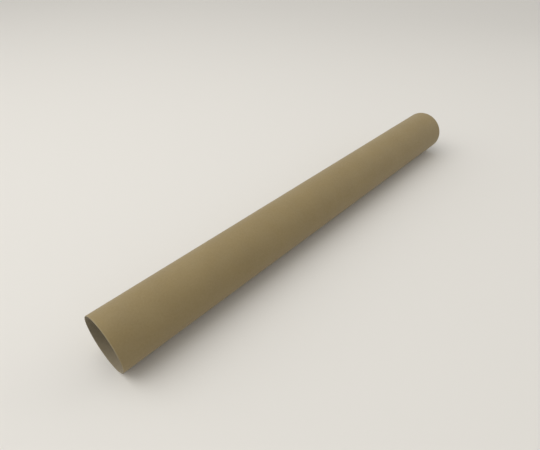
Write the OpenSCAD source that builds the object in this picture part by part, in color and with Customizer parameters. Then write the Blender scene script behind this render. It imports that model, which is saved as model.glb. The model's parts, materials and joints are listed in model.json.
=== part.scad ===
// Cardboard mailing tube: a straight round tube of wound brown board, open at both ends.
// It lies along X, with the floor at z = 0 and its middle over the origin.

/* [Tube] */
// Inside diameter, the size that end plugs and rolled sheets are made to
bore_d = 76.2; // [25:0.1:300]
// Thickness of the board wall
wall_t = 1.5; // [1:0.1:10]
// Length from one cut end to the other
tube_l = 762; // [150:1:1500]

/* [Cut ends] */
// Radius of the outer edge, which the knife presses in as it enters the board
outer_edge_r = 0.4; // [0.1:0.05:0.5]
// Radius of the inner edge, where the knife leaves the board
inner_edge_r = 0.25; // [0.1:0.05:0.4]

/* [Hidden] */

bore_r = bore_d / 2;
outer_r = bore_r + wall_t;

// Plain kraft brown
board_colour = [0.56, 0.50, 0.34];

// Facets of a full turn
turn_fn = 180;
// Facets of a full turn of the small edge circles
edge_fn = 48;
// How far a cutting shape runs past what it cuts
past = 0.1;

// What a square corner loses when it is rounded off.
// The corner is at the origin, and the board lies in the quarter where x and y are above zero.
module corner_waste(r) {
    difference() {
        translate([-past, -past]) square(r + past);
        translate([r, r]) circle(r, $fn = edge_fn);
    }
}

// Both corners of the wall at the end where y = 0
module end_waste() {
    translate([bore_r, 0]) corner_waste(inner_edge_r);
    translate([outer_r, 0]) mirror([1, 0]) corner_waste(outer_edge_r);
}

// Half section of the wall: x is the distance from the axis, and y runs along the tube
module wall_section() {
    difference() {
        translate([bore_r, 0]) square([wall_t, tube_l]);
        end_waste();
        translate([0, tube_l]) mirror([0, 1]) end_waste();
    }
}

module tube() {
    color(board_colour)
        translate([-tube_l / 2, 0, outer_r])
            rotate([0, 90, 0])
                rotate_extrude($fn = turn_fn) wall_section();
}

tube();
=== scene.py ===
import json
import math

import bpy
import numpy as np
from mathutils import Euler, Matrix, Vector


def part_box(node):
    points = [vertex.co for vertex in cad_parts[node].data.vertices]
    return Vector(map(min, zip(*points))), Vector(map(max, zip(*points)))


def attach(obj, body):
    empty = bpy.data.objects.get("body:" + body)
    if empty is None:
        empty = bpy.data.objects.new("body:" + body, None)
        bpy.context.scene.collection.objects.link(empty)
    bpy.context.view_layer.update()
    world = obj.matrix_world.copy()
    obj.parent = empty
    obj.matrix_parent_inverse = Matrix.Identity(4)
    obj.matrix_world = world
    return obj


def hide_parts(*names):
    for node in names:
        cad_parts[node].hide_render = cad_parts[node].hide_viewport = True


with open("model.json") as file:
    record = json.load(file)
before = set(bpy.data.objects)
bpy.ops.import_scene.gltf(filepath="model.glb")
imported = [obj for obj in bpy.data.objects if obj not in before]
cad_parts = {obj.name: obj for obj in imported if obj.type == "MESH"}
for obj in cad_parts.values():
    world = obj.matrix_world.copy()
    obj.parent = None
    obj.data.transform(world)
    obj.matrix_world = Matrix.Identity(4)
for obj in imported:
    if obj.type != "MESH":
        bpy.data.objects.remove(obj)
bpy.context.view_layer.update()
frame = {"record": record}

MM = 0.001
TURN = 2 * math.pi

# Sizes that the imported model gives
tube_low, tube_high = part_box("tube")
near_mouth = next(m for m in frame["record"]["mounts"] if m["name"] == "near_mouth")
BORE_R = near_mouth["dims"]["r_mm"] * MM
OUTER_R = (tube_high.z - tube_low.z) / 2
AXIS_Z = tube_low.z + OUTER_R
HALF_L = (tube_high.x - tube_low.x) / 2
WALL = OUTER_R - BORE_R

# The cut ends
OUTER_EDGE_R = 0.4 * MM
INNER_EDGE_R = 0.25 * MM
OUTER_EDGE_STEPS = 5
INNER_EDGE_STEPS = 4
SKIN_STOP = OUTER_EDGE_R / 3  # on the rounded edge, the outer skin stops this far from the end
PLIES = 5
GLUE_DEPTH = 0.035 * MM
# Across a glue line in the cut face: (distance from its middle in millimetres, share of its depth)
GLUE_SECTION = ((0.05, 0.0), (0.02, 0.8), (0.0, 1.0), (-0.02, 0.8), (-0.05, 0.0))

# The strips of paper that the wall is wound from
LEAD = 142 * MM  # how far a strip runs along the tube in one turn
OUTER_SEAM = 1.1  # angle of the outer ply's butt joint at the tube's middle, in radians
INNER_SEAM = 3.9
SEAM_DEPTH = 0.05 * MM
SEAM_HALF = 0.11 * MM  # half the width of a joint
SEAM_FADE = 4  # power by which a joint's groove fades through the wall

# Slow waves, by which the wall strays from a true round and a cut from flat, both inwards only
SKIN_WAVE = 0.04 * MM
CUT_WAVE = 0.05 * MM
CUT_WAVE_X = 0.3  # x at which the waves are read for the far cut, and -x for the near cut
WAVES_AROUND = (1, 2, 3, 5, 7)  # waves in one turn
WAVES_EACH = 2  # waves drawn for each of those counts
WAVE_LENGTH = 90 * MM  # the shortest wave along the tube
SKIN_SEED = 7
CUT_SEED = 8

# The mesh
SURFACES = ("outside", "inside", "cut")
COLUMNS = 96
SEAM_COLUMNS = (-3.2, -1.0, 0.0, 1.0, 3.2)  # from the middle of a joint, in half widths of it
SEAM_ROOM = 0.45  # even columns closer than this to a joint's are left out, as a share of their spacing
ROW_STEP = 2.0 * MM
END_ROWS = (0, 0.3, 0.8, 1.6, 2.8)  # rows beside a rounded edge, in millimetres from it

# The map for baked textures: lower and upper edge of the strips for the outside, the inside, the
# near cut and the far cut
MAP_STRIPS = ((0.004, 0.468), (0.476, 0.940), (0.948, 0.968), (0.976, 0.996))
MAP_MARGIN = 0.004
MAP_TURNS = 1.03  # room round the tube, in turns: the last face runs on past the first turn

# The paper, where a size is about that of one grain of a noise
CLOUD_SIZE = 45 * MM
FORMATION_SIZE = 3.0 * MM  # formation is how the pulp clumps in the sheet
GRAIN_SIZE = 0.22 * MM
FIBRE_STRETCH = 5.0  # length along the strip, in widths
HUE_SIZE = 26 * MM
HUE_DRIFT = (1.0, 0.985, 0.93, 1.0)  # factor on the colour where the hue has drifted farthest
FLECK_SIZE = 0.6 * MM
FLECK_STRETCH = 3.0  # as for the fibres
FLECK_EDGE = 0.05  # how softly a fleck ends, as a difference of its noise
FLECK_STRENGTH = 0.35
JOINT_CORE = 0.4  # share of a butt joint's width that is darkest
JOINT_STRENGTH = 0.30
POLISH = 0.06  # how far the roughness strays either way

# The skin beside a cut, which is rubbed paler in patches
WEAR_START = 1.4 * MM  # distance from the end at which it starts
WEAR_FULL = 0.1 * MM  # and at which it is full
WEAR_PATCH = 2.2 * MM
WEAR_LEAST = 0.25  # strength between the patches
WEAR_PATCHY = 0.6  # what a patch adds to it

# The cut face: torn fibres, and lines of glue that are measured in thicknesses of a ply
FRAY_SIZE = 0.35 * MM
CUT_PATCH = 6 * MM
GLUE_WANDER = 0.08  # how far a line strays either way
GLUE_HALF = 0.16  # half the width of a line
GLUE_CORE = 0.03  # half the width of its darkest part
GLUE_STRENGTH = 0.5

# The surroundings, with colours in the eight-bit steps of a picture
FLOOR_RADIUS = 7.0
FLOOR_CORNERS = 96
FLOOR_COLOUR = (224, 221, 215)
BACKDROP_COLOUR = (197, 194, 188)

# The light of the room: even from all round, and stronger from a low window on one side
DAYLIGHT = (1.0, 0.993, 0.98)
ROOM_LIGHT = 0.512
WINDOW_LIGHT = 1.38
WINDOW_SIDE = math.radians(135)
WINDOW_HEIGHT = math.radians(20)
WINDOW_FOCUS = 4.0

# A wide soft lamp overhead
LAMP_PLACE = (-0.66, 0.66, 2.03)
LAMP_TARGET = (0, 0, 0)
LAMP_SIZE = 2.4
LAMP_POWER = 20.6
LAMP_SPREAD = math.radians(180)  # to all sides, with no cone

# A weak lamp past the far end, in place of the white wall that the photograph has there.
# Its light keeps to a cone, so that it leaves no bright strip on the floor behind the tube.
SIDE_PLACE = (1.6, -0.7, 0.8)
SIDE_TARGET = (0.3, 0, AXIS_Z)
SIDE_SIZE = 1.5
SIDE_POWER = 0.66
SIDE_SPREAD = math.radians(60)

# The photograph's viewpoint, from its fit to the tube's outlines and both ends
CAMERA_PLACE = (-0.4567, -0.3346, 0.4428)
CAMERA_YAW = math.radians(43.444)
CAMERA_PITCH = -math.radians(38.546)
FOCAL_PIXELS = 413.48
FRAME_PIXELS = 540
SENSOR_WIDTH = 36.0  # in millimetres, as Blender has it


# Geometry


def smooth_wave(angle, x, size, seed):
    """A slow wave over the wall, from 0 to size, that closes round the tube."""
    draw = np.random.default_rng(seed)
    total = np.zeros(np.broadcast(angle, x).shape)
    share = 0.0
    for around in WAVES_AROUND:
        for _ in range(WAVES_EACH):
            along = draw.uniform(-1, 1) * TURN / WAVE_LENGTH
            phase = draw.uniform(0, TURN)
            weight = 1 / around
            total += weight * np.sin(around * angle + along * x + phase)
            share += weight
    return size * (0.5 + 0.5 * total / share)


def column_angles():
    """Angles of the mesh's columns at the tube's middle: even, and close together at the two joints."""
    beside = np.array(SEAM_COLUMNS) * SEAM_HALF / OUTER_R
    seams = np.concatenate([seam + beside for seam in (OUTER_SEAM, INNER_SEAM)])
    even = np.arange(COLUMNS) * TURN / COLUMNS
    room = SEAM_ROOM * TURN / COLUMNS
    free = [a for a in even if np.abs(a - seams).min() > room]
    return np.sort(np.concatenate([free, seams]))


def skin_rows():
    """Places along the tube, from one rounded edge to the other, closer together near the ends."""
    first = -HALF_L + OUTER_EDGE_R
    close = first + np.array(END_ROWS) * MM
    inner = np.linspace(close[-1], -close[-1], round(-2 * close[-1] / ROW_STEP) + 1)
    return np.concatenate([close[:-1], inner, -close[::-1][1:]])


def edge_arc(radius, steps):
    """A rounded edge, from skin to cut: (how far in from the end, how far in from the skin)."""
    turn = np.linspace(0, math.pi / 2, steps + 1)[1:]
    return [(radius * (1 - math.sin(t)), radius * (1 - math.cos(t))) for t in turn]


def cut_face():
    """The flat of the cut from the outer ply to the inner one, with a groove at each glue line."""
    face = []
    for ply in range(PLIES - 1, 0, -1):
        joint = BORE_R + WALL * ply / PLIES
        face += [(share * GLUE_DEPTH, joint + offset * MM, "cut") for offset, share in GLUE_SECTION]
        face.append((0.0, joint - WALL / PLIES / 2, "cut"))
    lowest, highest = BORE_R + INNER_EDGE_R, OUTER_R - OUTER_EDGE_R
    return [point for point in face if lowest < point[1] < highest]


def cut_profile():
    """One end from the outer skin to the bore: (how far in from the end, radius, surface)."""
    outer = [(depth, OUTER_R - inwards, "outside" if depth > SKIN_STOP else "cut")
             for depth, inwards in edge_arc(OUTER_EDGE_R, OUTER_EDGE_STEPS)]
    inner = [(depth, BORE_R + inwards, "cut")
             for depth, inwards in reversed(edge_arc(INNER_EDGE_R, INNER_EDGE_STEPS))]
    return outer + cut_face() + inner + [(INNER_EDGE_R, BORE_R, "inside")]


def wall_rows():
    """The wall's section as one closed row of (x, radius, surface): over the skin, back in the bore."""
    along = skin_rows()
    cut = cut_profile()
    rows = [(x, OUTER_R, "outside") for x in along]
    rows += [(HALF_L - depth, radius, surface) for depth, radius, surface in cut]
    rows += [(x, BORE_R, "inside") for x in along[::-1][1:-1]]
    rows += [(depth - HALF_L, radius, surface) for depth, radius, surface in reversed(cut)]
    return rows


def groove(angle, seam):
    """How deep a butt joint is at this angle, from 0 beside it to 1 in it."""
    away = np.abs((angle - seam + math.pi) % TURN - math.pi) * OUTER_R
    return np.clip(1 - away / SEAM_HALF, 0, 1)


def wall_points(x, radius, start):
    """The mesh's points as (rows, columns, 3), in columns that follow the winding."""
    angle = start + TURN * x / LEAD
    outward = np.clip((radius - BORE_R) / WALL, 0, 1)
    inward = 1 - outward
    at_end = np.clip(1 - (HALF_L - np.abs(x)) / OUTER_EDGE_R, 0, 1)

    r = radius - smooth_wave(angle, x, SKIN_WAVE, SKIN_SEED)
    r = r - outward**SEAM_FADE * SEAM_DEPTH * groove(start, OUTER_SEAM)
    r = r + inward**SEAM_FADE * SEAM_DEPTH * groove(start, INNER_SEAM)
    cut_wave = smooth_wave(angle, np.sign(x) * CUT_WAVE_X, CUT_WAVE, CUT_SEED)
    lengthwise = x - np.sign(x) * at_end * cut_wave
    return np.stack([lengthwise, r * np.cos(angle), AXIS_Z + r * np.sin(angle)], -1)


def wall_faces(n_rows, n_columns):
    """The faces as (faces, 4 corners). The last row joins the first, and so does the last column."""
    k = np.arange(n_rows)[:, None]
    j = np.arange(n_columns)[None, :]
    k_next, j_next = (k + 1) % n_rows, (j + 1) % n_columns
    # The first and third corner are the two that lie closest, and a face is split between them
    corners = np.stack([k * n_columns + j_next, k_next * n_columns + j_next,
                        k_next * n_columns + j, k * n_columns + j], -1)
    return corners.reshape(-1, 4)


def unrolled(x, radius, start, face_surface):
    """The map as (rows, columns, 4 corners, 2), with each surface rolled out flat in its own strip."""
    turned = np.concatenate([start, [start[0] + TURN]])
    # The corners' places, in the order that the faces have them
    place = np.stack([x, np.roll(x, -1), np.roll(x, -1), x], -1)[:, None, :]
    height = np.stack([radius, np.roll(radius, -1), np.roll(radius, -1), radius], -1)[:, None, :]
    column = np.stack([turned[1:], turned[1:], turned[:-1], turned[:-1]], -1)[None, :, :]
    angle = column + TURN * place / LEAD
    angle = angle - TURN * np.floor(angle.min(-1, keepdims=True) / TURN)
    around = angle / (TURN * MAP_TURNS)
    lengthwise = np.broadcast_to(place / (2 * HALF_L) + 0.5, angle.shape)
    # Along the cut's own profile: across the wall, and down its rounded edges
    depth = HALF_L - np.abs(place)
    over_edge = np.where(height > BORE_R + WALL / 2, depth, -depth)
    profile = (height - BORE_R + over_edge + INNER_EDGE_R) / (WALL + OUTER_EDGE_R + INNER_EDGE_R)
    profile = np.broadcast_to(np.clip(profile, 0, 1), angle.shape)

    # The strips are in the order of SURFACES, and the far cut's comes after the near cut's
    cut = SURFACES.index("cut")
    strip = np.where((face_surface == cut) & (x > 0), cut + 1, face_surface)[:, None, None]
    on_skin = strip < cut
    across_u = np.where(on_skin, lengthwise, around)
    across_v = np.where(on_skin, around, profile)
    low, high = np.transpose(MAP_STRIPS)[:, strip]
    u = MAP_MARGIN + across_u * (1 - 2 * MAP_MARGIN)
    v = low + across_v * (high - low)
    return np.stack([u, v], -1)


def tube_mesh():
    """The wall as one closed mesh, with its three surfaces and the map for its bake."""
    rows = wall_rows()
    x = np.array([row[0] for row in rows])
    radius = np.array([row[1] for row in rows])
    surface = np.array([SURFACES.index(row[2]) for row in rows])
    start = column_angles()
    points = wall_points(x[:, None], radius[:, None], start[None, :])
    faces = wall_faces(len(x), len(start))
    # A face between two different surfaces belongs to the cut
    face_surface = np.where(surface == np.roll(surface, -1), surface, SURFACES.index("cut"))

    mesh = bpy.data.meshes.new("mailing_tube")
    mesh.from_pydata(points.reshape(-1, 3), [], faces.tolist())
    mesh.polygons.foreach_set("material_index", np.repeat(face_surface, len(start)).astype(np.int32))
    mesh.polygons.foreach_set("use_smooth", np.ones(len(faces), bool))
    bake_map = mesh.uv_layers.new(name="OFBake")
    bake_map.data.foreach_set("uv", unrolled(x, radius, start, face_surface).ravel())
    mesh.validate()
    mesh.update()
    return mesh


# Shader nodes


def srgb(red, green, blue):
    """A colour given in the eight-bit steps of a picture, as Blender's linear numbers."""
    def linear(step):
        share = step / 255
        return share / 12.92 if share <= 0.04045 else ((share + 0.055) / 1.055) ** 2.4
    return (linear(red), linear(green), linear(blue), 1.0)


def add(tree, kind, inputs=None, **settings):
    """Adds a node, sets its properties, and sets or joins its inputs."""
    node = tree.nodes.new(kind)
    for name, value in settings.items():
        setattr(node, name, value)
    for name, value in (inputs or {}).items():
        if isinstance(value, bpy.types.NodeSocket):
            tree.links.new(value, node.inputs[name])
        else:
            node.inputs[name].default_value = value
    return node


def math_node(tree, operation, *values):
    """The result of one operation on numbers."""
    return add(tree, "ShaderNodeMath", dict(enumerate(values)), operation=operation).outputs[0]


def vector_node(tree, operation, *values):
    """The outputs of one operation on vectors, Vector and Value."""
    return add(tree, "ShaderNodeVectorMath", dict(enumerate(values)), operation=operation).outputs


def weighted(tree, *parts):
    """The sum of parts, which are each (value, weight)."""
    (value, weight), *others = parts
    total = math_node(tree, "MULTIPLY", value, weight)
    for value, weight in others:
        total = math_node(tree, "MULTIPLY_ADD", value, weight, total)
    return total


def ramp(tree, value, zero_at, one_at):
    """0 where the value is zero_at, 1 where it is one_at, even between the two and level past them."""
    return add(tree, "ShaderNodeMapRange", {"Value": value, "From Min": zero_at, "From Max": one_at},
               clamp=True).outputs[0]


def mixed(tree, share, first, second, blend="MIX"):
    """Two colours mixed, by a share from 0 to 1."""
    # A Mix node has sockets for other kinds of value too: for colours they are inputs 6 and 7, output 2
    return add(tree, "ShaderNodeMix", {0: share, 6: first, 7: second},
               data_type="RGBA", blend_type=blend).outputs[2]


def noise(tree, vector, size, detail=3.0, roughness=0.55, low=0.3, high=0.7):
    """Noise with grains of about this size, spread from 0 to 1."""
    made = add(tree, "ShaderNodeTexNoise", {"Vector": vector, "Scale": 1 / size, "Detail": detail,
                                            "Roughness": roughness})
    return ramp(tree, made.outputs[0], low, high)


def xyz(tree, vector):
    """A vector's three numbers."""
    return add(tree, "ShaderNodeSeparateXYZ", {0: vector}).outputs


def from_axis(tree, place):
    """A place on the tube, measured from the tube's axis."""
    return vector_node(tree, "SUBTRACT", place, (0, 0, AXIS_Z))["Vector"]


def winding_frame(tree, place):
    """A place on the tube, untwisted so that a strip of paper runs straight along X."""
    turn = math_node(tree, "MULTIPLY", xyz(tree, place)[0], TURN / LEAD)
    untwisted = add(tree, "ShaderNodeVectorRotate", {"Vector": from_axis(tree, place), "Angle": turn},
                    rotation_type="X_AXIS", invert=True)
    return untwisted.outputs[0]


def stretched(tree, vector, along):
    """A vector for grains that are this many times as long along the strip as across it."""
    return vector_node(tree, "MULTIPLY", vector, (1 / along, 1, 1))["Vector"]


# Materials


def new_material(name):
    """A material, with its node tree and its shader."""
    material = bpy.data.materials.new(name)
    material.use_nodes = True
    return material, material.node_tree, material.node_tree.nodes["Principled BSDF"]


def butt_joint(tree, wound, seam):
    """1 in the hairline between two turns of a strip, and 0 beside it."""
    _, y, z = xyz(tree, wound)
    # Distance from the joint's half plane, on its own side only
    across = weighted(tree, (y, -math.sin(seam)), (z, math.cos(seam)))
    outward = weighted(tree, (y, math.cos(seam)), (z, math.sin(seam)))
    line = ramp(tree, math_node(tree, "ABSOLUTE", across), SEAM_HALF, JOINT_CORE * SEAM_HALF)
    own_side = math_node(tree, "GREATER_THAN", outward, 0.0)
    return math_node(tree, "MULTIPLY", line, own_side)


def rubbed_end(tree, place):
    """How much paler the skin is rubbed, which it is only beside a cut."""
    to_end = math_node(tree, "SUBTRACT", HALF_L, math_node(tree, "ABSOLUTE", xyz(tree, place)[0]))
    near = ramp(tree, to_end, WEAR_START, WEAR_FULL)
    patches = noise(tree, place, WEAR_PATCH)
    worn = math_node(tree, "MULTIPLY_ADD", patches, WEAR_PATCHY, WEAR_LEAST)
    return math_node(tree, "MULTIPLY", near, worn)


def board_material(name, dark, light, fleck, wear, fibre_size, fleck_share, seam, rough, bump_height):
    """Uncoated kraft paper: clouds, fibres along the strip, flecks, a hairline joint and rubbed ends."""
    material, tree, shader = new_material(name)
    place = add(tree, "ShaderNodeTexCoord").outputs["Object"]
    wound = winding_frame(tree, place)

    clouds = noise(tree, place, CLOUD_SIZE, detail=2.0)
    formation = noise(tree, place, FORMATION_SIZE)
    fibres = noise(tree, stretched(tree, wound, FIBRE_STRETCH), fibre_size, detail=4.0, roughness=0.65)
    grain = noise(tree, place, GRAIN_SIZE, detail=2.0, roughness=0.6)
    tone = weighted(tree, (clouds, 0.24), (formation, 0.18), (fibres, 0.34), (grain, 0.24))
    colour = mixed(tree, tone, dark, light)
    hue = noise(tree, place, HUE_SIZE, detail=2.0)
    colour = mixed(tree, hue, colour, HUE_DRIFT, blend="MULTIPLY")

    flecks = noise(tree, stretched(tree, wound, FLECK_STRETCH), FLECK_SIZE, detail=1.0,
                   low=fleck_share, high=fleck_share + FLECK_EDGE)
    colour = mixed(tree, math_node(tree, "MULTIPLY", flecks, FLECK_STRENGTH), colour, fleck)
    joint = butt_joint(tree, wound, seam)
    colour = mixed(tree, math_node(tree, "MULTIPLY", joint, JOINT_STRENGTH), colour, fleck)
    colour = mixed(tree, rubbed_end(tree, place), colour, wear)
    tree.links.new(colour, shader.inputs["Base Color"])

    polish = add(tree, "ShaderNodeMapRange", {"Value": formation, "To Min": rough + POLISH,
                                              "To Max": rough - POLISH})
    tree.links.new(polish.outputs[0], shader.inputs["Roughness"])
    shader.inputs["Specular IOR Level"].default_value = 0.35
    # Loose fibre ends catch the light where the skin is seen at a slant
    shader.inputs["Sheen Weight"].default_value = 0.12
    shader.inputs["Sheen Roughness"].default_value = 0.45

    height = weighted(tree, (fibres, 0.6), (grain, 0.3), (formation, 0.5))
    relief = add(tree, "ShaderNodeBump", {"Height": height, "Distance": bump_height, "Strength": 0.6})
    tree.links.new(relief.outputs[0], shader.inputs["Normal"])
    return material


def glue_lines(tree, place, fray):
    """1 in the glue between two plies of the cut face, and 0 beside it. Torn fibres bend the lines."""
    across = vector_node(tree, "MULTIPLY", from_axis(tree, place), (0, 1, 1))["Vector"]
    radius = vector_node(tree, "LENGTH", across)["Value"]
    in_plies = math_node(tree, "DIVIDE", math_node(tree, "SUBTRACT", radius, BORE_R), WALL / PLIES)
    wander = math_node(tree, "MULTIPLY_ADD", fray, 2 * GLUE_WANDER, -GLUE_WANDER)
    part = math_node(tree, "FRACT", math_node(tree, "ADD", in_plies, wander))
    from_joint = math_node(tree, "MINIMUM", part, math_node(tree, "SUBTRACT", 1.0, part))
    return ramp(tree, from_joint, GLUE_HALF, GLUE_CORE)


def cut_material(name, pale, dark, glue):
    """The knife-cut edge: torn fibres in pale plies, with a thin dark line of glue between each two."""
    material, tree, shader = new_material(name)
    place = add(tree, "ShaderNodeTexCoord").outputs["Object"]
    fray = noise(tree, place, FRAY_SIZE, detail=4.0, roughness=0.7)
    patches = noise(tree, place, CUT_PATCH, detail=2.0)
    colour = mixed(tree, weighted(tree, (fray, 0.6), (patches, 0.4)), dark, pale)
    lines = glue_lines(tree, place, fray)
    colour = mixed(tree, math_node(tree, "MULTIPLY", lines, GLUE_STRENGTH), colour, glue)
    tree.links.new(colour, shader.inputs["Base Color"])
    shader.inputs["Roughness"].default_value = 0.9
    shader.inputs["Specular IOR Level"].default_value = 0.25
    relief = add(tree, "ShaderNodeBump", {"Height": fray, "Distance": 0.06 * MM, "Strength": 0.7})
    tree.links.new(relief.outputs[0], shader.inputs["Normal"])
    return material


def floor_material():
    """A plain pale floor."""
    material, _, shader = new_material("pale_floor")
    shader.inputs["Base Color"].default_value = srgb(*FLOOR_COLOUR)
    shader.inputs["Roughness"].default_value = 0.7
    shader.inputs["Specular IOR Level"].default_value = 0.2
    return material


# The tube


def add_object(name, data):
    """A new object in the scene."""
    made = bpy.data.objects.new(name, data)
    bpy.context.scene.collection.objects.link(made)
    return made


def make_tube():
    """The tube, with the materials of its surfaces in the order of SURFACES."""
    tube = add_object("mailing_tube", tube_mesh())
    tube.data.materials.append(board_material(
        "kraft_outside", dark=srgb(132, 115, 79), light=srgb(149, 132, 94), fleck=srgb(96, 80, 54),
        wear=srgb(164, 149, 117), fibre_size=0.30 * MM, fleck_share=0.74, seam=OUTER_SEAM, rough=0.66,
        bump_height=0.05 * MM))
    tube.data.materials.append(board_material(
        "kraft_inside", dark=srgb(134, 123, 102), light=srgb(155, 145, 125), fleck=srgb(94, 83, 64),
        wear=srgb(165, 154, 131), fibre_size=0.38 * MM, fleck_share=0.70, seam=INNER_SEAM, rough=0.80,
        bump_height=0.08 * MM))
    tube.data.materials.append(cut_material(
        "cut_board", pale=srgb(154, 144, 123), dark=srgb(120, 110, 89), glue=srgb(92, 81, 62)))
    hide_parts("tube")
    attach(tube, "root")


# Surroundings, light and camera


def make_floor():
    """A round floor, so that its edge is level from every side."""
    angles = [TURN * k / FLOOR_CORNERS for k in range(FLOOR_CORNERS)]
    rim = [(FLOOR_RADIUS * math.cos(a), FLOOR_RADIUS * math.sin(a), 0) for a in angles]
    mesh = bpy.data.meshes.new("floor")
    mesh.from_pydata(rim, [], [list(range(FLOOR_CORNERS))])
    mesh.materials.append(floor_material())
    floor = add_object("floor", mesh)


def make_world():
    """The room's soft light, and the pale backdrop that the camera and gloss see in its place."""
    world = bpy.data.worlds.new("studio")
    world.use_nodes = True
    bpy.context.scene.world = world
    tree = world.node_tree
    tree.nodes.clear()
    level = math.cos(WINDOW_HEIGHT)
    window = (math.cos(WINDOW_SIDE) * level, math.sin(WINDOW_SIDE) * level, math.sin(WINDOW_HEIGHT))
    direction = add(tree, "ShaderNodeTexCoord").outputs["Generated"]
    facing = vector_node(tree, "DOT_PRODUCT", direction, window)["Value"]
    patch = math_node(tree, "POWER", math_node(tree, "MAXIMUM", facing, 0.0), WINDOW_FOCUS)
    strength = math_node(tree, "MULTIPLY_ADD", patch, WINDOW_LIGHT, ROOM_LIGHT)
    light = add(tree, "ShaderNodeBackground", {"Color": (*DAYLIGHT, 1), "Strength": strength})
    backdrop = add(tree, "ShaderNodeBackground", {"Color": srgb(*BACKDROP_COLOUR), "Strength": 1.0})
    ray = add(tree, "ShaderNodeLightPath").outputs
    mirrored = math_node(tree, "MAXIMUM", ray["Is Glossy Ray"], ray["Is Transmission Ray"])
    seen = math_node(tree, "MAXIMUM", ray["Is Camera Ray"], mirrored)
    either = add(tree, "ShaderNodeMixShader", {0: seen, 1: light.outputs[0], 2: backdrop.outputs[0]})
    add(tree, "ShaderNodeOutputWorld", {"Surface": either.outputs[0]})


def facing_way(yaw, pitch):
    """The rotation of a lamp or camera that faces this way: yaw from +X, and pitch up from level."""
    return Euler((math.pi / 2 + pitch, 0, yaw - math.pi / 2))


def area_light(name, place, target, size, power, spread):
    """A round lamp of daylight that faces its target."""
    data = bpy.data.lights.new(name, "AREA")
    data.shape = "DISK"
    data.size = size
    data.energy = power
    data.spread = spread
    data.color = DAYLIGHT
    light = add_object(name, data)
    light.location = place
    aim = np.array(target, float) - np.array(place, float)
    yaw = math.atan2(aim[1], aim[0])
    pitch = math.atan2(aim[2], math.hypot(aim[0], aim[1]))
    light.rotation_euler = facing_way(yaw, pitch)


def make_lights():
    """The lamp overhead, and the weak one past the far end."""
    area_light("overhead", LAMP_PLACE, LAMP_TARGET, LAMP_SIZE, LAMP_POWER, LAMP_SPREAD)
    area_light("side", SIDE_PLACE, SIDE_TARGET, SIDE_SIZE, SIDE_POWER, SIDE_SPREAD)


def make_camera():
    """The camera at the photograph's viewpoint."""
    data = bpy.data.cameras.new("camera")
    data.sensor_width = SENSOR_WIDTH
    data.lens = FOCAL_PIXELS / FRAME_PIXELS * SENSOR_WIDTH
    camera = add_object("camera", data)
    camera.location = CAMERA_PLACE
    camera.rotation_euler = facing_way(CAMERA_YAW, CAMERA_PITCH)
    bpy.context.scene.camera = camera


make_camera()
make_tube()
make_floor()
make_world()
make_lights()
bpy.context.scene.view_settings.view_transform = "Standard"
